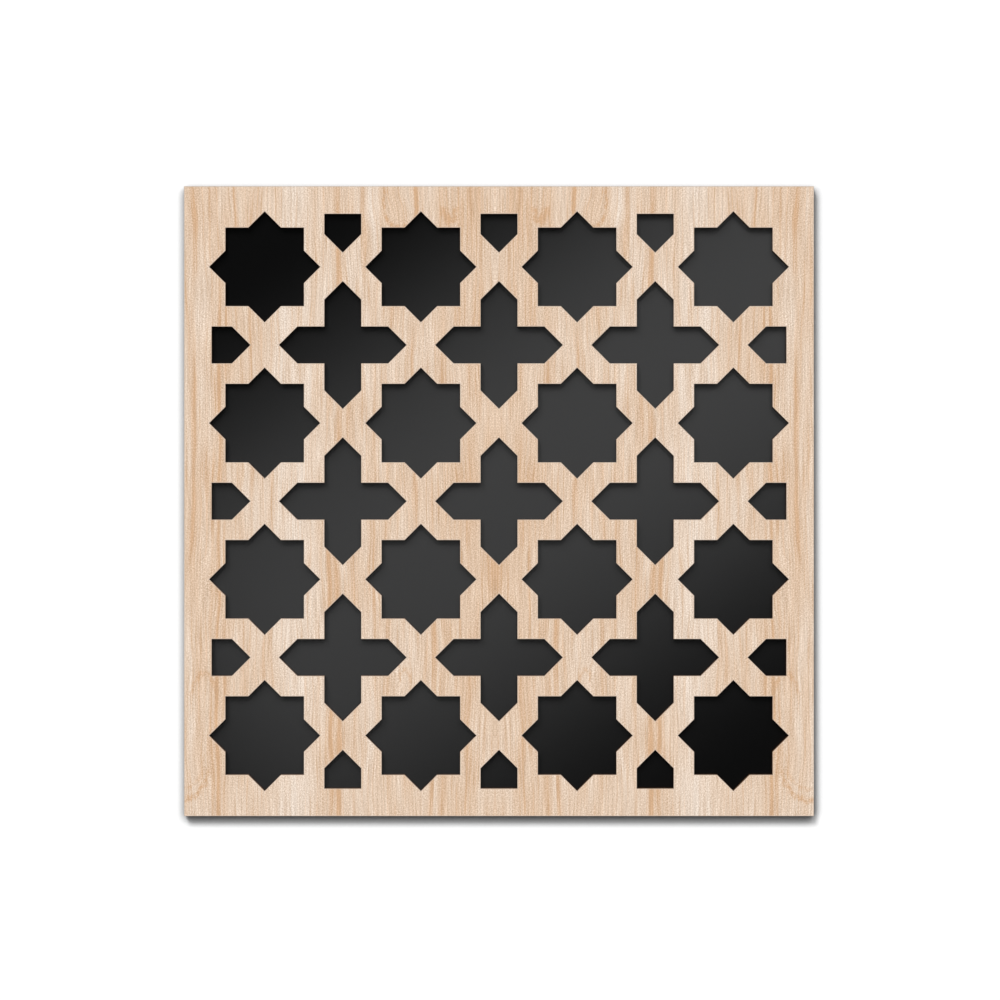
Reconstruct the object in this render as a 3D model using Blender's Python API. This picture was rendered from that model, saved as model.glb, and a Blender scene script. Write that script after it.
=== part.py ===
"""Square laser-cut wall panel: a pale wood lattice of eight-pointed stars and crosses, glued to a black board.

Metres, +Z up. The panel is fixed flat to a wall: its front looks along -Y, and the origin is the centre of
the back face, which lies on the wall.
"""

import math

import bpy

# The two sheets
PANEL_SIDE = 0.600  # width and height of both
LATTICE_THICKNESS = 0.006
BOARD_THICKNESS = 0.003
GLUE_LINE = 0.0003  # between the board and the lattice

# The pattern, given by the widths of wood that the laser leaves standing
STARS_ACROSS = 4  # in each row and in each column
STAR_BORDER = 0.0241  # from the panel's edge to the points of the outer stars
HALF_CROSS_BORDER = 0.0264  # from the panel's edge to the flat ends of the half crosses
BAR_WIDTH = 0.0197  # between a star's side and a cross's arm
STAR_GAP = 0.0434  # between the points of two neighbouring stars
CROSS_GAP = 0.0276  # between the points of two neighbouring crosses

# The finishes: colour, roughness and metallic value
PALE_WOOD = ((0.66, 0.49, 0.36), 0.55, 0.0)
BLACK_LACQUER = ((0.006, 0.006, 0.006), 0.35, 0.0)


def clear_scene():
    for obj in list(bpy.data.objects):
        bpy.data.objects.remove(obj)


def finish(name, look):
    """A material of one colour, roughness and metallic value."""
    colour, roughness, metallic = look
    material = bpy.data.materials.new(name)
    material.use_nodes = True
    shader = material.node_tree.nodes["Principled BSDF"]
    shader.inputs["Base Color"].default_value = (*colour, 1.0)
    shader.inputs["Roughness"].default_value = roughness
    shader.inputs["Metallic"].default_value = metallic
    return material


def pattern_sizes():
    """Pitch of the stars, point-to-point size of a star and of a cross, and the width of a cross's arm.

    The stars share the width inside the borders, and each opening takes what the bars and gaps leave it.
    """
    pitch = (PANEL_SIDE - 2 * STAR_BORDER + STAR_GAP) / STARS_ACROSS
    star_points = pitch - STAR_GAP
    cross_points = pitch - CROSS_GAP
    arm_width = pitch - star_points / math.sqrt(2) - 2 * BAR_WIDTH
    return pitch, star_points, cross_points, arm_width


def square(side):
    """Corners of an upright square about the origin."""
    half = side / 2
    return [(-half, -half), (half, -half), (half, half), (-half, half)]


def quarter_turned(points, turns):
    """The points turned about the origin by quarter turns, anticlockwise."""
    for _ in range(turns):
        points = [(-z, x) for x, z in points]
    return points


def moved(points, centre):
    return [(x + centre[0], z + centre[1]) for x, z in points]


def star(star_points):
    """Two equal squares about one centre, one of them turned by an eighth: sixteen corners."""
    reach = star_points / 2
    wall = reach / math.sqrt(2)  # half the side of each square
    notch = reach - wall  # half the base of a point, where it meets the other square's side
    quarter = [(wall, -notch), (reach, 0), (wall, notch), (wall, wall)]
    return [point for turns in range(4) for point in quarter_turned(quarter, turns)]


def cross(cross_points, arm_width):
    """Four equal arms, each ending in a right-angled point: sixteen corners."""
    reach = cross_points / 2
    half = arm_width / 2
    quarter = [(reach - half, -half), (reach, 0), (reach - half, half), (half, half)]
    return [point for turns in range(4) for point in quarter_turned(quarter, turns)]


def half_cross(length, arm_width):
    """One arm with its point, cut square where the border begins: flat end at the origin, point along +X."""
    half = arm_width / 2
    shoulder = length - half
    return [(0, -half), (shoulder, -half), (length, 0), (shoulder, half), (0, half)]


def openings():
    """Outlines of every hole: the stars, the crosses between them and the half crosses along the borders."""
    pitch, star_points, cross_points, arm_width = pattern_sizes()
    star_places = [(i - (STARS_ACROSS - 1) / 2) * pitch for i in range(STARS_ACROSS)]
    cross_places = [place + pitch / 2 for place in star_places[:-1]]
    outlines = [moved(star(star_points), (x, z)) for x in star_places for z in star_places]
    outlines += [moved(cross(cross_points, arm_width), (x, z)) for x in cross_places for z in cross_places]

    flat_end = PANEL_SIDE / 2 - HALF_CROSS_BORDER
    row_beyond = star_places[-1] + pitch / 2  # where the next whole crosses would have their centres
    length = flat_end - (row_beyond - cross_points / 2)
    for place in cross_places:
        at_left = moved(half_cross(length, arm_width), (-flat_end, place))
        outlines += [quarter_turned(at_left, turns) for turns in range(4)]
    return outlines


def cut_sheet(name, outlines, thickness, back, material):
    """A sheet cut along closed outlines in the XZ plane, the holes inside the outer one; back is its back's y."""
    curve = bpy.data.curves.new(name, "CURVE")
    curve.dimensions = "2D"
    curve.fill_mode = "BOTH"
    curve.extrude = thickness / 2
    for outline in outlines:
        spline = curve.splines.new("POLY")
        spline.points.add(len(outline) - 1)
        for point, (x, z) in zip(spline.points, outline, strict=True):
            point.co = (x, z, 0, 1)
        spline.use_cyclic_u = True
    curve.materials.append(material)
    sheet = bpy.data.objects.new(name, curve)
    sheet.rotation_euler = (math.pi / 2, 0, 0)
    sheet.location = (0, back - thickness / 2, 0)
    bpy.context.scene.collection.objects.link(sheet)
    return sheet


def main():
    clear_scene()
    edge = square(PANEL_SIDE)
    black = finish("black_lacquer", BLACK_LACQUER)
    wood = finish("pale_wood", PALE_WOOD)
    cut_sheet("backing_board", [edge], BOARD_THICKNESS, 0.0, black)
    lattice_back = -BOARD_THICKNESS - GLUE_LINE
    cut_sheet("star_lattice", [edge, *openings()], LATTICE_THICKNESS, lattice_back, wood)


main()
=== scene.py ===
"""The looks of a square laser-cut wall panel: a veneered lattice of stars and crosses over a black board.

The file is laid out as an add-on and is run as a script. Everything is in metres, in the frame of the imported
model: the front looks along -Y, +Z is up and the wall is at y = 0.
"""

import math

import bpy
import numpy as np
from mathutils import Matrix, Vector, geometry


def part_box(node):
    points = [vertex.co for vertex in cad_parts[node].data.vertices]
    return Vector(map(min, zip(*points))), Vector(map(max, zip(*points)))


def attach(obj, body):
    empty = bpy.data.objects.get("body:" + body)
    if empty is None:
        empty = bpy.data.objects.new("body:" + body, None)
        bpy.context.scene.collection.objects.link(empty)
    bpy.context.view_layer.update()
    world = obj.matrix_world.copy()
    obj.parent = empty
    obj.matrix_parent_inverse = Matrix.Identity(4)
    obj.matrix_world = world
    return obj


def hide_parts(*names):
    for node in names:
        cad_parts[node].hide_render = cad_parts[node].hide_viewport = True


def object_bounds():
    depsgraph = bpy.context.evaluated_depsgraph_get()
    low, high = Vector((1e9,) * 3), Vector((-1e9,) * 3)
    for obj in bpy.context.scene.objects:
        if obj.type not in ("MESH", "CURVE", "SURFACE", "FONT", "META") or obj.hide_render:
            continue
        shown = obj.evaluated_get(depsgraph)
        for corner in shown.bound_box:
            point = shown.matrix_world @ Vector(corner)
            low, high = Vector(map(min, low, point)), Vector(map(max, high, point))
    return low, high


bl_info = {
    "name": "Star lattice panel",
    "version": (1, 0, 0),
    "blender": (4, 5, 0),
    "location": "3D View > Sidebar > Star panel",
    "description": "Finishes, light and camera for a laser-cut wall panel",
    "category": "Object",
}

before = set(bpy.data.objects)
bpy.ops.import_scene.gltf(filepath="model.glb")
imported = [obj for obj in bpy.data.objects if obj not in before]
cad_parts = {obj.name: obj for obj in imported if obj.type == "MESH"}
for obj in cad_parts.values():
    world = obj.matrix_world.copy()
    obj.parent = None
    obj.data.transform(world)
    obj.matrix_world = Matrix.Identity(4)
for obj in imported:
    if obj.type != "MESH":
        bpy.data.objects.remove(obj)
LATTICE_NODE = "star_lattice"
BOARD_NODE = "backing_board"

PANEL_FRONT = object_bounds()[0][1]
MERGE_DISTANCE = 1e-6  # between the loose triangles' corners that are one point of the solid
CROSSING_DISTANCE = 1e-7  # within which two outlines would be taken to touch
CUT_MAP = "cut"  # the UV map that follows the cut edges


def millimetres(number):
    """A length in metres from one in millimetres."""
    return number / 1000


def length(name, description, default):
    """A size that a user may change, in metres."""
    return bpy.props.FloatProperty(
        name=name, description=description, default=default, min=0.0, precision=5, unit="LENGTH"
    )


def share(name, description, default):
    """A plain number between nothing and one."""
    return bpy.props.FloatProperty(
        name=name, description=description, default=default, min=0.0, max=1.0, subtype="FACTOR"
    )


def colour(name, description, default):
    """A colour in linear light."""
    return bpy.props.FloatVectorProperty(
        name=name, description=description, default=default, size=3, min=0.0, max=1.0, subtype="COLOR"
    )


class StarPanelEdges(bpy.types.PropertyGroup):
    """How the cut edges of the two sheets are eased."""

    lattice_ease: length("Lattice ease", "Radius sanded onto the lattice's edges", millimetres(0.12))
    lattice_lean: length("Lean of the cut", "How far each cut opens towards the front", millimetres(0.06))
    pale_rim: length("Pale rim", "Width of the cleaner wood along each cut", millimetres(1.2))
    board_ease: length("Board ease", "Radius on the board's edges", millimetres(0.35))
    steps: bpy.props.IntProperty(
        name="Steps", description="Flats that round each eased edge", default=4, min=1
    )


class StarPanelWood(bpy.types.PropertyGroup):
    """The book-matched veneer and the scorched walls of the cuts."""

    dark: colour("Dark grain", "The late wood in the streaks", (0.590, 0.374, 0.224))
    middle: colour("Middle tone", "The body of the veneer", (0.670, 0.505, 0.374))
    pale: colour("Pale grain", "The early wood between the streaks", (0.757, 0.655, 0.566))
    clean: colour("Clean rim", "The cleaner wood along each cut", (0.595, 0.505, 0.425))
    roughness: share("Roughness", "Of the sanded, unpolished veneer", 0.62)
    fibre_width: length("Fibre width", "Of one fibre bundle, across the grain", millimetres(1.2))
    fibre_length: length("Fibre length", "Of one fibre bundle, along the grain", millimetres(42))
    join: length("Join", "How far left of the middle the two leaves meet", millimetres(3.8))
    scorch: colour("Scorch", "The brown that the laser leaves on a cut wall", (0.115, 0.058, 0.028))
    soot: colour("Soot", "The darkest lines on a cut wall", (0.022, 0.012, 0.008))


class StarPanelLacquer(bpy.types.PropertyGroup):
    """The satin black lacquer on the board."""

    black: colour("Black", "The lacquer's own colour", (0.0027, 0.0027, 0.0028))
    roughness: share("Roughness", "Of the satin front", 0.45)


class StarPanelStudio(bpy.types.PropertyGroup):
    """The camera and the light."""

    lens: bpy.props.FloatProperty(
        name="Lens", description="Focal length of the camera in mm", default=100.0, min=10.0, unit="CAMERA"
    )
    picture_width: length("Picture width", "Width that the camera sees at the panel's front", 0.95238)
    room_light: bpy.props.FloatProperty(
        name="Room light", description="Light that falls on the wall, in W/m2", default=3.61, min=0.0
    )
    band_light: bpy.props.FloatProperty(
        name="Band light", description="Light of the strips that the lacquer mirrors", default=0.52, min=0.0
    )


class Signal:
    """A socket's value in a shader; sums, products and powers of signals add Math nodes to its tree."""

    def __init__(self, tree, socket=None):
        self.tree = tree
        self.socket = socket

    def node(self, kind, settings, inputs, output=0):
        """Adds a node, its settings first and then its sockets' values or links, and gives one output."""
        made = self.tree.nodes.new(kind)
        stops = settings.get("stops")
        for name, value in settings.items():
            if name != "stops":
                setattr(made, name, value)
        if stops:
            for position, stop_colour in stops[1:-1]:
                made.color_ramp.elements.new(position).color = (*stop_colour, 1.0)
            for element, (position, stop_colour) in ((0, stops[0]), (-1, stops[-1])):
                made.color_ramp.elements[element].position = position
                made.color_ramp.elements[element].color = (*stop_colour, 1.0)
        for name, value in inputs.items():
            if isinstance(value, Signal):
                self.tree.links.new(value.socket, made.inputs[name])
            else:
                made.inputs[name].default_value = value
        return Signal(self.tree, made.outputs[output])

    def maths(self, operation, *values):
        """A Math node on the values in order."""
        return self.node("ShaderNodeMath", {"operation": operation}, dict(enumerate(values)))

    def __add__(self, other):
        return self.maths("ADD", self, other)

    __radd__ = __add__

    def __sub__(self, other):
        return self.maths("SUBTRACT", self, other)

    def __rsub__(self, other):
        return self.maths("SUBTRACT", other, self)

    def __mul__(self, other):
        return self.maths("MULTIPLY", self, other)

    __rmul__ = __mul__

    def __truediv__(self, other):
        return self.maths("DIVIDE", self, other)

    def __rtruediv__(self, other):
        return self.maths("DIVIDE", other, self)

    def __pow__(self, other):
        return self.maths("POWER", self, other)

    def __rpow__(self, other):
        return self.maths("POWER", other, self)

    def __abs__(self):
        return self.maths("ABSOLUTE", self)


def new_material(name):
    """A material, its Principled shader, and a signal without a socket that makes its other nodes."""
    material = bpy.data.materials.new(name)
    material.use_nodes = True
    tree = material.node_tree
    return material, tree.nodes["Principled BSDF"], Signal(tree)


def split(vector):
    """The three parts of a vector signal."""
    parts = vector.node("ShaderNodeSeparateXYZ", {}, {"Vector": vector})
    sockets = parts.socket.node.outputs
    return [Signal(vector.tree, sockets[axis]) for axis in ("X", "Y", "Z")]


def own_coordinates(start):
    """The object's own coordinates x, y and z."""
    return split(start.node("ShaderNodeTexCoord", {}, {}, "Object"))


def cut_coordinates(start):
    """How far along its edge a place on a cut lies, and how far down from the front rim."""
    along, down, _ = split(start.node("ShaderNodeUVMap", {"uv_map": CUT_MAP}, {}))
    return along, down


def feed(shader, name, signal):
    """Links a signal to one of the shader's sockets."""
    signal.tree.links.new(signal.socket, shader.inputs[name])


def streaked_noise(across, along, width, reach, detail, roughness=0.5, seed=0.0):
    """Noise from 0 to 1 in blotches as wide as width and as long as reach; seed picks another patch."""
    point = across.node("ShaderNodeCombineXYZ", {}, {"X": across / width + seed, "Y": along / reach - seed})
    settings = {"noise_dimensions": "2D"}
    inputs = {"Vector": point, "Scale": 1.0, "Detail": detail, "Roughness": roughness}
    return across.node("ShaderNodeTexNoise", settings, inputs)


def noise_in_mm(across, along, width, reach, detail, roughness=0.5, seed=0.0):
    """Streaked noise whose width and reach are given in mm."""
    return streaked_noise(across, along, millimetres(width), millimetres(reach), detail, roughness, seed)


def fade(signal, start, end):
    """Rises smoothly from 0 at start to 1 at end; start may be the larger."""
    inputs = {"Value": signal, "From Min": start, "From Max": end}
    return signal.node("ShaderNodeMapRange", {"interpolation_type": "SMOOTHSTEP"}, inputs)


def line(signal, centre, width):
    """One where the signal is at the centre, falling smoothly to nothing at a width away."""
    return fade(abs(signal - centre), width, 0.0)


def mixed(factor, first, second):
    """A colour between two others."""
    return factor.node("ShaderNodeMix", {"data_type": "RGBA"}, {0: factor, 6: first, 7: second}, 2)


# The veneer's brown streaks, in mm from the join: place, width, strength, and the heights between which each
# one shows. One that reaches the top or the bottom of the panel runs off it
PANEL_REACH = 300  # mm from the middle of the panel to its edge
STREAK_FADE = (30, 10)  # mm beyond each height and within it, over which a streak fades
STREAKS = (
    (14, 3, 0.22, 90, 300),  # join's edge
    (25, 3, 0.16, -300, -120),  # foot line by the join
    (26, 20, 0.08, -300, 300),  # inner brown
    (34, 2.4, 0.16, -300, 300),  # inner line
    (40, 2.4, 0.18, 190, 300),  # inner crest's line
    (49, 8, 0.18, -300, 300),  # broad brown
    (59.5, 3.2, 0.46, -300, -60),  # foot line
    (76.5, 3, 0.44, -110, 300),  # upper line
    (100, 3, 0.34, -300, -235),  # lower line
    (103, 2, 0.24, -240, 110),  # hairline
    (115, 2, 0.28, -160, 120),  # middle hairline
    (125.5, 2.4, 0.30, 190, 300),  # crest line
    (134, 3, 0.26, -300, 40),  # curved foot line
    (149.5, 4, 0.56, -300, 300),  # strong streak
    (157.5, 3.6, 0.60, -300, -40),  # strong streak's foot
    (154, 5, 0.16, -300, -40),  # between the two
    (191, 2, 0.20, 240, 300),  # upper hairline
    (213, 2, 0.20, -200, 250),  # pale zone's hairline
    (233, 4, 0.34, 20, 250),  # outer crest line
    (247.5, 3, 0.34, 250, 300),  # top outer line
    (258, 1.6, 0.24, -300, 240),  # outer pair's inner line
    (263.5, 2.6, 0.44, -300, 240),  # outer pair's middle line
    (268.5, 2.2, 0.30, -300, 40),  # outer pair's outer line
    (286.5, 4, 0.36, -40, 300),  # edge streak
)
# The slow noise that bends the grain, in mm: width, length and push, then its seed
BENDS = ((70, 260, 8, 3.1), (22, 60, 4, 7.7))
# Where the grain is pushed aside, in mm: from the join, up, half width, half height, push
TURNS = (
    (96, 246, 22, 34, 4),  # top crest
    (86, -166, 7, 12, 3),  # pin knot
    (296, -170, 28, 110, -4),  # edge's drift
)
TURN_REACH = 2.4  # square of the distance from a turn, in half widths and heights, at which it ends
# Where the growth rings crest in an arc, in mm: from the join, up, half width, half height, which is negative
# where the crest points down, then the line's width, its strength, and its flanks' length in half heights
CRESTS = (
    (90, 280, 15.7, -20, 3.0, 0.62, 1.3),  # outer top crest
    (43.4, 280, 6, -12, 4.6, 0.62, 0.3),  # inner top crest
    (277, -196, 12.4, 32, 2.2, 0.42, 0.5),  # side crest
    (300, -252, 27, -33, 3.8, 0.60, 0.2),  # corner crest
    (300, -246, 23, -29, 2.4, 0.30, 0.4),  # corner's second line
    (86, -172, 4.8, 12.4, 1.6, 0.45, 0.3),  # pin knot
)
CREST_WAVER = 7  # mm from side to side
FLANK_FADE = 0.6  # half heights over which a flank fades in
FAINTEST_CREST = 0.25  # share of a crest's strength that is left where it is most broken
# The veneer's broad lanes of tone, in mm from the join: place, width at half strength, and strength
LANES = (
    (28, 34, -0.07),  # inner lane
    (193, 42, 0.17),  # pale lane
    (264, 26, -0.03),  # outer lane
)
# The slow bands of tone, in mm: width and length, then strength and seed
BANDS = ((45, 420, 0.26, 1.4), (19, 210, 0.35, 5.2), (7, 90, 0.47, 8.8))
BODY_TONE = 0.505  # of the wood between the streaks, where 0 is the dark colour and 1 the pale one
STREAK_STRENGTHS = (0.45, 1.10)  # shares between which a streak's strength changes along it
# Levels of their noise between which streaks and crests grow to full strength, and hairlines come out
STREAK_LEVELS, CREST_LEVELS, HAIR_LEVELS = (0.25, 0.60), (0.36, 0.62), (0.56, 0.70)
# How strongly fibres, flecks and hairlines change the tone, and the brightness
FIBRE_TONE, FLECK_TONE, HAIR_TONE = 0.50, 0.80, 0.26
FIBRE_BRIGHTNESS, FLECK_BRIGHTNESS = 0.44, 0.57
FLECK_WIDTH, FLECK_LENGTH = 0.93, 1.28  # in fibre widths
FLECK_SLANT = 0.6  # shift aside for each step up, which keeps the flecks from lining up with the fibres
HAIR_WIDTH, HAIR_LENGTH = 1.8, 2  # in fibre widths and in fibre lengths
HAIRY_SHARE = 0.2  # of the wood that hairlines cover
RIM_SHARE = 0.6  # of the clean colour at the very edge of a cut


def turned_grain(from_join, z):
    """How far from the join a fibre at this place started: slow noise and the turns push it aside."""
    lane = from_join
    for width, reach, push, seed in BENDS:
        lane = lane + (noise_in_mm(from_join, z, width, reach, 1.0, seed=seed) - 0.5) * millimetres(push)
    for place, height, half_width, half_height, push in TURNS:
        aside = (from_join - millimetres(place)) / millimetres(half_width)
        up = (z - millimetres(height)) / millimetres(half_height)
        near = fade(aside * aside + up * up, TURN_REACH, 0.0)
        lane = lane + near * millimetres(push)
    return lane


def crest_lines(from_join, z):
    """How strongly each place lies on a crest: half an ellipse about its centre, whose flanks run on upright.

    Fine noise makes each line waver, and breaks it up.
    """
    waver = (noise_in_mm(from_join, z, 4, 9, 3.0, 0.6, seed=15.2) - 0.5) * millimetres(CREST_WAVER)
    broken = fade(noise_in_mm(from_join, z, 3, 7, 3.0, 0.7, seed=4.8), *CREST_LEVELS)
    total = 0
    for place, height, half_width, half_height, width, strength, flanks in CRESTS:
        aside = (from_join + waver - millimetres(place)) / millimetres(half_width)
        ahead = (z + waver - millimetres(height)) / millimetres(half_height)
        beyond = ahead.maths("MAXIMUM", ahead, 0.0)
        ring = (aside * aside + beyond * beyond) ** 0.5
        shown = fade(ahead, -flanks, FLANK_FADE - flanks)
        total = line(ring, 1.0, width / half_width) * shown * strength + total
    return total * (broken * (1 - FAINTEST_CREST) + FAINTEST_CREST)


def veneer_tone(lane, z):
    """Tone of the wood, from 0 in the brownest grain to 1 in the palest."""
    tone = BODY_TONE
    for place, width, strength in LANES:
        tone = line(lane, millimetres(place), millimetres(width)) * strength + tone
    faintest, strongest = STREAK_STRENGTHS
    patchy = fade(noise_in_mm(lane, z, 12, 110, 2.0, seed=9.4), *STREAK_LEVELS)
    uneven = patchy * (strongest - faintest) + faintest
    beyond, within = STREAK_FADE
    for place, width, strength, low, high in STREAKS:
        streak = line(lane, millimetres(place), millimetres(width)) * strength
        if low > -PANEL_REACH:
            streak = streak * fade(z, millimetres(low - beyond), millimetres(low + within))
        if high < PANEL_REACH:
            streak = streak * fade(z, millimetres(high + beyond), millimetres(high - within))
        tone = tone - streak * uneven
    for width, reach, strength, seed in BANDS:
        tone = tone + (noise_in_mm(lane, z, width, reach, 1.0, seed=seed) - 0.5) * strength
    return tone


def veneer(look, edges):
    """Pale veneer, book-matched about an upright join.

    Both leaves read their own distance from the join, so the right leaf mirrors the left one. Fibres and dark
    hairlines follow the turned grain, with small slanted flecks over them, and the wood is cleaner along each
    cut.
    """
    material, shader, start = new_material("book_matched_veneer")
    x, _, z = own_coordinates(start)
    from_join = abs(x + look.join)
    lane = turned_grain(from_join, z)
    width, reach = look.fibre_width, look.fibre_length
    fibres = streaked_noise(lane, z, width, reach, 2.0, 0.6, seed=11.3) - 0.5
    across, along = lane + z * FLECK_SLANT, z - lane * FLECK_SLANT
    flecks = streaked_noise(across, along, width * FLECK_WIDTH, width * FLECK_LENGTH, 1.0, seed=2.9) - 0.5
    hairs = streaked_noise(lane, z, width * HAIR_WIDTH, reach * HAIR_LENGTH, 1.0, seed=6.6)
    hairs = fade(hairs, *HAIR_LEVELS) - HAIRY_SHARE
    tone = veneer_tone(lane, z) - crest_lines(from_join, z)
    tone = tone + fibres * FIBRE_TONE + flecks * FLECK_TONE - hairs * HAIR_TONE
    stops = ((0.0, look.dark), (0.5, look.middle), (1.0, look.pale))
    grain = tone.node("ShaderNodeValToRGB", {"stops": stops}, {"Fac": tone})
    brightness = 1 + fibres * FIBRE_BRIGHTNESS + flecks * FLECK_BRIGHTNESS
    inputs = {"Vector": grain, "Scale": brightness}
    grain = grain.node("ShaderNodeVectorMath", {"operation": "SCALE"}, inputs)

    _, down = cut_coordinates(start)
    rim = fade(down, 0.0, edges.pale_rim)
    feed(shader, "Base Color", mixed(rim * RIM_SHARE, grain, (*look.clean, 1.0)))
    feed(shader, "Roughness", look.roughness + fibres * 0.18)
    height = fibres + flecks * 0.5
    inputs = {"Height": height, "Strength": 0.2, "Distance": millimetres(0.06)}
    feed(shader, "Normal", height.node("ShaderNodeBump", {}, inputs))
    shader.inputs["Specular IOR Level"].default_value = 0.3
    return material


PLIES = 5  # that show in the thickness of the sheet
PULSE_TONE, PLY_TONE = 1.6, 0.9  # how strongly the pulses and the plies change the scorched colour
LIGHTEST_SCORCH = 2.1  # times the scorched colour


def scorched_wall(look, thickness):
    """A wall cut by the laser: brown, with fine soot lines across it and faint plies along it."""
    material, shader, start = new_material("scorched_cut")
    along, down = cut_coordinates(start)
    pulses = noise_in_mm(along, down, 0.35, 9, 2.0, 0.6, seed=4.4)
    plies = streaked_noise(along, down, millimetres(90), thickness / PLIES, 0.0, seed=8.6)
    tone = (pulses - 0.5) * PULSE_TONE + (plies - 0.5) * PLY_TONE + 0.5
    lightest = [LIGHTEST_SCORCH * part for part in look.scorch]
    stops = ((0.0, look.soot), (0.62, look.scorch), (1.0, lightest))
    feed(shader, "Base Color", tone.node("ShaderNodeValToRGB", {"stops": stops}, {"Fac": tone}))
    feed(shader, "Roughness", 0.78 + (pulses - 0.5) * 0.2)
    inputs = {"Height": pulses, "Strength": 0.6, "Distance": millimetres(0.12)}
    feed(shader, "Normal", pulses.node("ShaderNodeBump", {}, inputs))
    return material


def lacquer(look):
    """Satin black lacquer with the faintest roller texture."""
    material, shader, start = new_material("black_lacquer")
    x, _, z = own_coordinates(start)
    texture = noise_in_mm(x, z, 1.6, 1.9, 2.0, seed=6.2)
    shader.inputs["Base Color"].default_value = (*look.black, 1.0)
    feed(shader, "Roughness", look.roughness + (texture - 0.5) * 0.05)
    inputs = {"Height": texture, "Strength": 0.05, "Distance": millimetres(0.05)}
    feed(shader, "Normal", texture.node("ShaderNodeBump", {}, inputs))
    return material


def solid_of(node):
    """Corner points and triangles of a CAD node, with the corners that its loose triangles share merged."""
    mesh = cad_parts[node].data
    points = np.empty(3 * len(mesh.vertices), np.float32)
    mesh.vertices.foreach_get("co", points)
    corners = np.empty(len(mesh.loops), np.int64)
    mesh.loops.foreach_get("vertex_index", corners)
    steps = np.round(points.reshape(-1, 3) / MERGE_DISTANCE).astype(np.int64)
    merged, owner = np.unique(steps, axis=0, return_inverse=True)
    return merged * MERGE_DISTANCE, owner.reshape(-1)[corners].reshape(-1, 3)


def outlines_of(node):
    """The outlines of a CAD sheet's front face: corners as (x, z), and edges from start to end.

    An edge of an outline is a side of one front triangle alone. It runs with the sheet on its left as seen
    from the front.
    """
    points, triangles = solid_of(node)
    front = points[:, 1].min() + MERGE_DISTANCE
    flat = triangles[(points[triangles][:, :, 1] < front).all(axis=1)]
    used, flat = np.unique(flat, return_inverse=True)
    flat = flat.reshape(-1, 3)
    edges = np.concatenate((flat[:, (0, 1)], flat[:, (1, 2)], flat[:, (2, 0)]))
    code = edges[:, 0] * len(used) + edges[:, 1]
    reverse = edges[:, 1] * len(used) + edges[:, 0]
    return points[used][:, (0, 2)], edges[~np.isin(code, reverse)]


def filled(corners, edges):
    """Triangles that fill the outlines and leave their holes open, anticlockwise as seen from the front.

    A triangle is kept if the outlines wind round its middle: of the edges to the right of the middle, more
    pass it on their way up than on their way down.
    """
    points = [Vector(corner) for corner in corners]
    made = geometry.delaunay_2d_cdt(points, edges.tolist(), [], 0, CROSSING_DISTANCE)
    if len(made[0]) != len(corners):
        raise RuntimeError("the eased outlines cross each other")
    triangles = np.array(made[2])
    middle = corners[triangles].mean(axis=1)[:, None]
    start, end = corners[edges[:, 0]], corners[edges[:, 1]]
    to_middle, run = middle - start, end - start
    turn = run[:, 0] * to_middle[..., 1] - run[:, 1] * to_middle[..., 0]
    below_start, below_end = middle[..., 1] < start[:, 1], middle[..., 1] < end[:, 1]
    upward = ~below_start & below_end & (turn > 0)
    downward = below_start & ~below_end & (turn < 0)
    return triangles[upward.sum(axis=1) > downward.sum(axis=1)]


def outward_mitres(corners, edges):
    """For each corner, the shift that moves both of its sides outwards by one.

    With o1 and o2 the outward unit normals of the two sides, it is (o1 + o2) / (1 + o1.o2).
    """
    run = corners[edges[:, 1]] - corners[edges[:, 0]]
    run /= np.linalg.norm(run, axis=1, keepdims=True)
    normal = np.stack((run[:, 1], -run[:, 0]), axis=1)
    into = np.empty_like(corners)
    out_of = np.empty_like(corners)
    out_of[edges[:, 0]] = normal
    into[edges[:, 1]] = normal
    return (into + out_of) / (1 + (into * out_of).sum(axis=1, keepdims=True))


def edge_profile(thickness, ease, lean, rim, steps):
    """Rows of an edge from the front face to the back one: how far out each is and how deep behind the front.

    A flat rim, a quarter circle of radius ease, a wall that leans out by lean towards the back, and the same
    quarter circle onto the back.
    """
    turn = np.linspace(0, math.pi / 2, steps + 1)
    out = ease * (np.sin(turn) - 1)
    depth = ease * (1 - np.cos(turn))
    rows_out = np.concatenate(([-ease - rim - lean], out - lean, out[::-1]))
    rows_depth = np.concatenate(([0.0], depth, thickness - depth[::-1]))
    return rows_out, rows_depth


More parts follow.
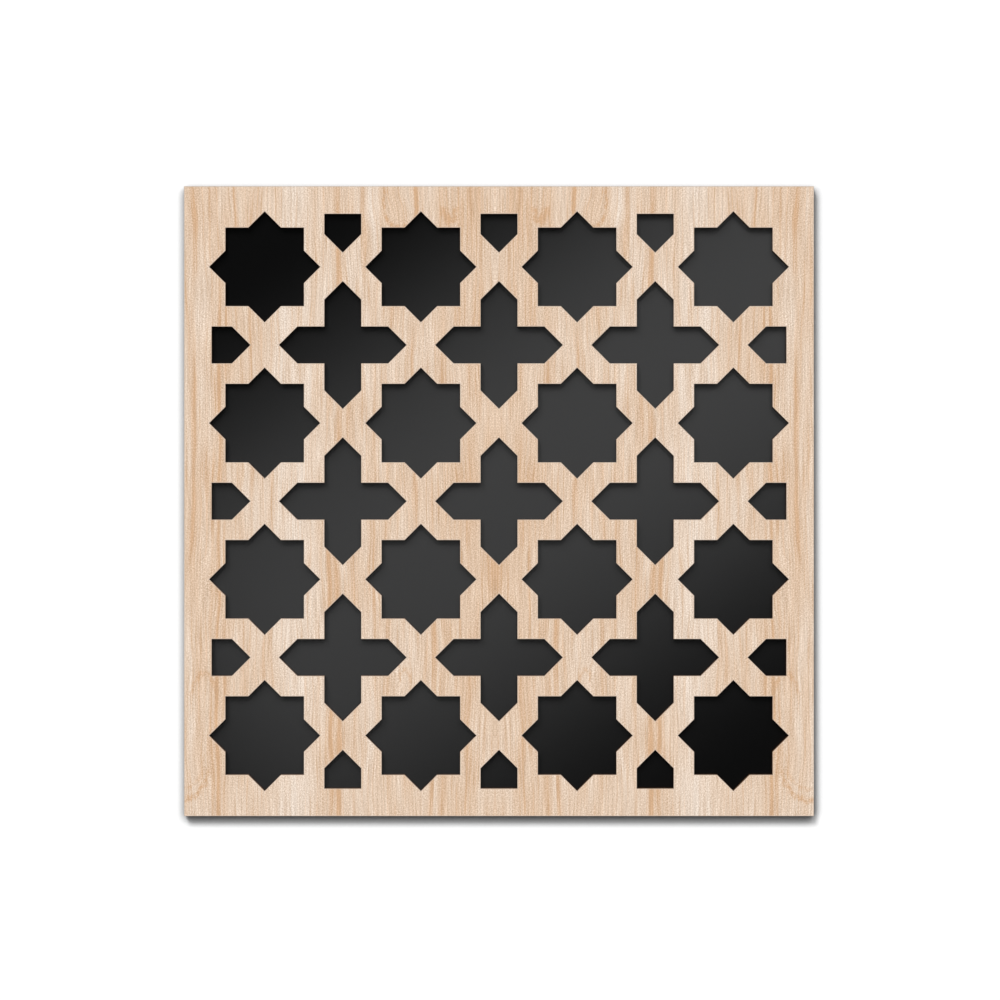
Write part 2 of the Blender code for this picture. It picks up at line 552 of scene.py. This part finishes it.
def cut_sheet(name, node, materials, ease, lean, rim, steps):
    """A sheet with eased edges round every outline of a CAD sheet.

    It is the edge profile carried round the outlines: corner c in row k lies at c + mitre(c) * out_k, depth_k
    behind the front. Flat triangles close the first row, and the last.
    """
    low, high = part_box(node)
    thickness = high[1] - low[1]
    corners, edges = outlines_of(node)
    out, depth = edge_profile(thickness, ease, lean, rim, steps)
    spread = corners + outward_mitres(corners, edges) * out[:, None, None]
    front, back = filled(spread[0], edges), filled(spread[-1], edges)
    rows, count = len(out), len(corners)
    behind = np.broadcast_to(low[1] + depth[:, None], (rows, count))
    points = np.stack((spread[..., 0], behind, spread[..., 1]), axis=-1).reshape(-1, 3)

    first = np.arange(rows - 1)[:, None] * count
    start = first + edges[:, 0]
    end = first + edges[:, 1]
    strips = np.stack((end, start, start + count, end + count), axis=-1)
    travelled = np.concatenate(([0.0], np.cumsum(np.hypot(np.diff(out), np.diff(depth)))))
    side = np.linalg.norm(corners[edges[:, 1]] - corners[edges[:, 0]], axis=1)
    cut_u = np.broadcast_to(np.stack((side, 0 * side, 0 * side, side), axis=-1), strips.shape)
    cut_v = np.stack([travelled[:-1], travelled[:-1], travelled[1:], travelled[1:]], axis=-1)
    cut_v = np.broadcast_to(cut_v[:, None, :], strips.shape)
    strip_uv = np.stack((cut_u, cut_v), axis=-1).reshape(-1, 2)
    back = back[:, ::-1] + (rows - 1) * count

    mesh = bpy.data.meshes.new(name)
    mesh.from_pydata(points.tolist(), [], [*front.tolist(), *strips.reshape(-1, 4).tolist(), *back.tolist()])
    for material in materials:
        mesh.materials.append(material)
    is_wall = np.arange(rows - 1) > 0
    wall_index = np.repeat(is_wall.astype(np.int32) * (len(materials) - 1), len(edges))
    index = np.concatenate((np.zeros(len(front), np.int32), wall_index, np.zeros(len(back), np.int32)))
    mesh.polygons.foreach_set("material_index", index)
    uv = np.concatenate((np.zeros((front.size, 2)), strip_uv, np.zeros((back.size, 2))))
    mesh.uv_layers.new(name=CUT_MAP).data.foreach_set("uv", uv.astype(np.float32).ravel())
    mesh.update()
    piece = bpy.data.objects.new(name, mesh)
    bpy.context.scene.collection.objects.link(piece)
    return piece


class STARPANEL_OT_lattice(bpy.types.Operator):
    """Makes the veneered lattice with eased and scorched edges, in place of the plain CAD sheet"""

    bl_idname = "star_panel.lattice"
    bl_label = "Veneered lattice"

    def execute(self, context):
        edges = context.scene.star_panel_edges
        wood = context.scene.star_panel_wood
        low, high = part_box(LATTICE_NODE)
        finishes = (veneer(wood, edges), scorched_wall(wood, high[1] - low[1]))
        ease, lean, rim = edges.lattice_ease, edges.lattice_lean, edges.pale_rim
        piece = cut_sheet("veneered_lattice", LATTICE_NODE, finishes, ease, lean, rim, edges.steps)
        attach(piece, "root")
        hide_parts(LATTICE_NODE)
        return {"FINISHED"}


class STARPANEL_OT_board(bpy.types.Operator):
    """Makes the black lacquered board behind the lattice, in place of the plain CAD sheet"""

    bl_idname = "star_panel.board"
    bl_label = "Lacquered board"

    def execute(self, context):
        edges = context.scene.star_panel_edges
        finishes = (lacquer(context.scene.star_panel_lacquer),)
        piece = cut_sheet("lacquered_board", BOARD_NODE, finishes, edges.board_ease, 0.0, 0.0, edges.steps)
        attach(piece, "root")
        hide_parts(BOARD_NODE)
        return {"FINISHED"}


def backdrop(name, corners, material):
    """A flat stage sheet that only the camera sees, so it throws no light or shade back on the panel."""
    mesh = bpy.data.meshes.new(name)
    mesh.from_pydata(corners, [], [(0, 1, 2, 3)])
    mesh.materials.append(material)
    sheet = bpy.data.objects.new(name, mesh)
    sheet.visible_diffuse = False
    sheet.visible_glossy = False
    sheet.visible_transmission = False
    sheet.visible_shadow = False
    bpy.context.scene.collection.objects.link(sheet)


def direction(elevation, azimuth):
    """The unit vector at two angles in degrees; azimuth 0 is in front of the panel and 90 at +X."""
    up, turn = math.radians(elevation), math.radians(azimuth)
    return Vector((math.sin(turn) * math.cos(up), -math.cos(turn) * math.cos(up), math.sin(up)))


WHITE = 0.95
PAINTED_SHADE_REACHES = (13.6, 8.9)  # mm within which what stands on the wall darkens its colour with painted shade
PAINTED_SHADE_LEAN = (38.5, -14)  # elevation and azimuth, in degrees, of the normal that the painted shade reads
# samples that each painted shade's ambient occlusion takes
PAINTED_SHADE_SAMPLES = 8


def one_sided_white_with_painted_shade(name):
    """A matt white that shows on a sheet's front alone, so that a view from behind looks through it.

    Painted shade darkens its colour within each reach of what stands on it: ambient occlusion fed into the
    base colour. The painted shade reads the openness about a normal that leans to the upper left, because most
    of the room's light comes from there.
    """
    material, matt, start = new_material(name)
    matt.inputs["Roughness"].default_value = 1.0
    matt.inputs["Specular IOR Level"].default_value = 0.0
    to_light = start.node("ShaderNodeCombineXYZ", {}, dict(zip("XYZ", direction(*PAINTED_SHADE_LEAN))))
    white_with_painted_shade = (WHITE, WHITE, WHITE, 1.0)
    # painted shade: each ambient occlusion darkens the white base colour near the panel, where its contact
    # shadow falls
    for reach in PAINTED_SHADE_REACHES:
        inputs = {"Color": white_with_painted_shade, "Distance": millimetres(reach), "Normal": to_light}
        white_with_painted_shade = start.node("ShaderNodeAmbientOcclusion", {"samples": PAINTED_SHADE_SAMPLES}, inputs)
    feed(matt, "Base Color", white_with_painted_shade)
    behind = start.node("ShaderNodeNewGeometry", {}, {}, "Backfacing")
    clear = start.node("ShaderNodeBsdfTransparent", {}, {})
    white = Signal(start.tree, matt.outputs["BSDF"])
    both = start.node("ShaderNodeMixShader", {}, {0: behind, 1: white, 2: clear})
    feed(start.tree.nodes["Material Output"], "Surface", both)
    return material


def lamp(name, kind, towards, distance):
    """A light that stands in the direction towards, seen from the panel's middle, and faces the panel."""
    data = bpy.data.lights.new(name, kind)
    light = bpy.data.objects.new(name, data)
    light.location = towards * distance
    light.rotation_euler = towards.to_track_quat("Z", "Y").to_euler()
    bpy.context.scene.collection.objects.link(light)
    return light


SUN_DISTANCE = 5.0  # metres, which change nothing in a sun's light


def far_softbox(name, elevation, azimuth, width, light_on_wall):
    """A round softbox, width degrees wide, that is so far off that its light is even."""
    towards = direction(elevation, azimuth)
    light = lamp(name, "SUN", towards, SUN_DISTANCE)
    light.data.angle = math.radians(width)
    light.data.energy = light_on_wall / abs(towards.y)
    light.visible_glossy = False


def near_softbox(name, elevation, azimuth, distance, side, power, receivers):
    """A square softbox close by, which lays a soft sheen on what it lights."""
    light = lamp(name, "AREA", direction(elevation, azimuth), distance)
    light.data.size = side
    light.data.energy = power
    light.light_linking.receiver_collection = receivers


def satin_lobe(roughness, cosine):
    """How strongly a satin surface mirrors a light, against one seen head-on: the GGX law.

    With a the square of the roughness, it is (a^2 / (c^2 (a^2 - 1) + 1))^2, where c is the cosine of the
    angle between the surface's normal and the line halfway to the light.
    """
    spread = roughness**4
    return (spread / (cosine**2 * (spread - 1) + 1)) ** 2


STRIP_DISTANCE = 2.0  # metres from the panel's middle
BAND_SLOPE = 34.0  # degrees by which the band of light rises towards the right
BAND_ENDS = (-0.36, 1.12)  # metres along the band, from the panel's middle
BAND_SHIFT = 0.014  # metres that the band lies below and to the right of the middle
HALF_BAND = 0.176  # metres from the middle of the band to its half strength, and as far again to its end


def band_strip(name, up, aside, brightness, lacquer_roughness, receivers):
    """A strip light behind a grid, for the lacquer alone, over a band from bottom left to top right.

    It stands up and aside by these amounts for each metre in front. Its long side lies in the plane of the
    band and its own axis. The grid's reach and the strip's width both shrink with the slant at which it looks
    across the band, so that every strip lights the same band.
    """
    towards = Vector((aside, -1.0, up)).normalized()
    light = lamp(name, "AREA", towards, STRIP_DISTANCE)
    slope = math.radians(BAND_SLOPE)
    rise = Vector((math.cos(slope), 0, math.sin(slope)))
    across = Vector((math.sin(slope), 0, -math.cos(slope)))
    long_side = rise - towards * rise.dot(towards)
    low_end, high_end = (end * long_side.length for end in BAND_ENDS)
    long_side.normalize()
    short_side = towards.cross(long_side)
    light.location += across * BAND_SHIFT + long_side * (low_end + high_end) / 2
    light.rotation_euler = Matrix((long_side, short_side, towards)).transposed().to_euler()
    reach = HALF_BAND * abs(across.dot(short_side))
    data = light.data
    data.shape = "RECTANGLE"
    data.size = high_end - low_end
    data.size_y = 2 * reach
    data.spread = 2 * math.atan(reach / STRIP_DISTANCE)
    halfway = math.sqrt((1 - towards.y) / 2)
    data.energy = brightness * data.size * data.size_y / satin_lobe(lacquer_roughness, halfway)
    light.light_linking.receiver_collection = receivers


# The white wall and floor, in metres: half their width, the wall's place behind the panel, the floor's height
STAGE_REACH, WALL_BEHIND, FLOOR_HEIGHT = 6.0, 0.002, -1.2
CAMERA_PLACE = (0.94, 1.14)  # mm to the right of the panel's middle and above it
# The far softboxes: elevation, azimuth and width in degrees, and share of the light on the wall
SOFTBOXES = (
    ("key_left", 40, -22, 21, 0.42),
    ("key_right", 40, 19, 21, 0.04),
    ("front_fill", 13, 0, 66, 0.54),
    ("back_light", 25, 200, 60, 0.80),
)
# The softbox for the board's back: elevation and azimuth in degrees, distance and side in metres, and watts
BACK_SHEEN = (2, 145, 1.6, 1.0, 9)
# The strips for the lacquer: metres up and aside for each metre in front, and share of the lacquer's shine
STRIPS = (
    (0.00, 0.00, 0.17),
    (0.00, -0.20, 0.10),
    (0.00, 0.18, 0.10),
    (0.38, -0.40, 0.10),
    (0.53, 0.40, 0.09),
    (0.68, -0.60, 0.11),
    (0.83, 0.00, 0.11),
    (0.98, 0.00, 0.08),
    (1.14, 0.50, 0.06),
    (1.33, -0.80, 0.08),
)


class STARPANEL_OT_stage(bpy.types.Operator):
    """Sets the pale wall and floor, the studio light and the camera"""

    bl_idname = "star_panel.stage"
    bl_label = "Wall, light and camera"

    def execute(self, context):
        studio = context.scene.star_panel_studio
        # the wall and floor carry painted shade near the panel in their colour
        white = one_sided_white_with_painted_shade("white_wall_with_painted_shade")
        square = [(x * STAGE_REACH, y * STAGE_REACH) for x, y in ((-1, -1), (1, -1), (1, 1), (-1, 1))]
        backdrop("wall", [(x, WALL_BEHIND, z) for x, z in square], white)
        backdrop("floor", [(x, y, FLOOR_HEIGHT) for x, y in square], white)

        world = bpy.data.worlds.new("white_surround")
        world.use_nodes = True
        world.node_tree.nodes["Background"].inputs["Color"].default_value = (1.0, 1.0, 1.0, 1.0)
        world.cycles_visibility.diffuse = False
        world.cycles_visibility.glossy = False
        context.scene.world = world
        context.scene.view_settings.view_transform = "Standard"

        for name, elevation, azimuth, width, part in SOFTBOXES:
            far_softbox(name, elevation, azimuth, width, studio.room_light * part)
        receivers = bpy.data.collections.new("lit_by_the_strips")
        receivers.objects.link(bpy.data.objects["lacquered_board"])
        satin = context.scene.star_panel_lacquer.roughness
        for number, (up, aside, part) in enumerate(STRIPS):
            band_strip(f"strip_{number}", up, aside, studio.band_light * part, satin, receivers)
        near_softbox("back_sheen", *BACK_SHEEN, receivers)

        camera = bpy.data.objects.new("camera", bpy.data.cameras.new("camera"))
        camera.data.lens = studio.lens
        distance = studio.picture_width * studio.lens / camera.data.sensor_width
        right, up = CAMERA_PLACE
        camera.location = (millimetres(right), PANEL_FRONT - distance, millimetres(up))
        camera.rotation_euler = (math.radians(90), 0, 0)
        context.scene.collection.objects.link(camera)
        context.scene.camera = camera
        return {"FINISHED"}


class STARPANEL_PT_sidebar(bpy.types.Panel):
    """Lists the panel's pieces, with the sizes and colours of each"""

    bl_label = "Star panel"
    bl_idname = "STARPANEL_PT_sidebar"
    bl_space_type = "VIEW_3D"
    bl_region_type = "UI"
    bl_category = "Star panel"

    def draw(self, context):
        groups = (
            (STARPANEL_OT_lattice, ("star_panel_edges", "star_panel_wood")),
            (STARPANEL_OT_board, ("star_panel_lacquer",)),
            (STARPANEL_OT_stage, ("star_panel_studio",)),
        )
        for operator, owners in groups:
            box = self.layout.box()
            box.operator(operator.bl_idname)
            for owner in owners:
                settings = getattr(context.scene, owner)
                for name in settings.__annotations__:
                    box.prop(settings, name)


SETTINGS = {
    "star_panel_edges": StarPanelEdges,
    "star_panel_wood": StarPanelWood,
    "star_panel_lacquer": StarPanelLacquer,
    "star_panel_studio": StarPanelStudio,
}
CLASSES = (STARPANEL_OT_lattice, STARPANEL_OT_board, STARPANEL_OT_stage, STARPANEL_PT_sidebar)


def register():
    for name, group in SETTINGS.items():
        bpy.utils.register_class(group)
        setattr(bpy.types.Scene, name, bpy.props.PointerProperty(type=group))
    for item in CLASSES:
        bpy.utils.register_class(item)


def unregister():
    for item in reversed(CLASSES):
        bpy.utils.unregister_class(item)
    for name, group in SETTINGS.items():
        delattr(bpy.types.Scene, name)
        bpy.utils.unregister_class(group)


def main():
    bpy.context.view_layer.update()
    register()
    bpy.ops.star_panel.lattice()
    bpy.ops.star_panel.board()
    bpy.ops.star_panel.stage()


if __name__ == "__main__":
    main()
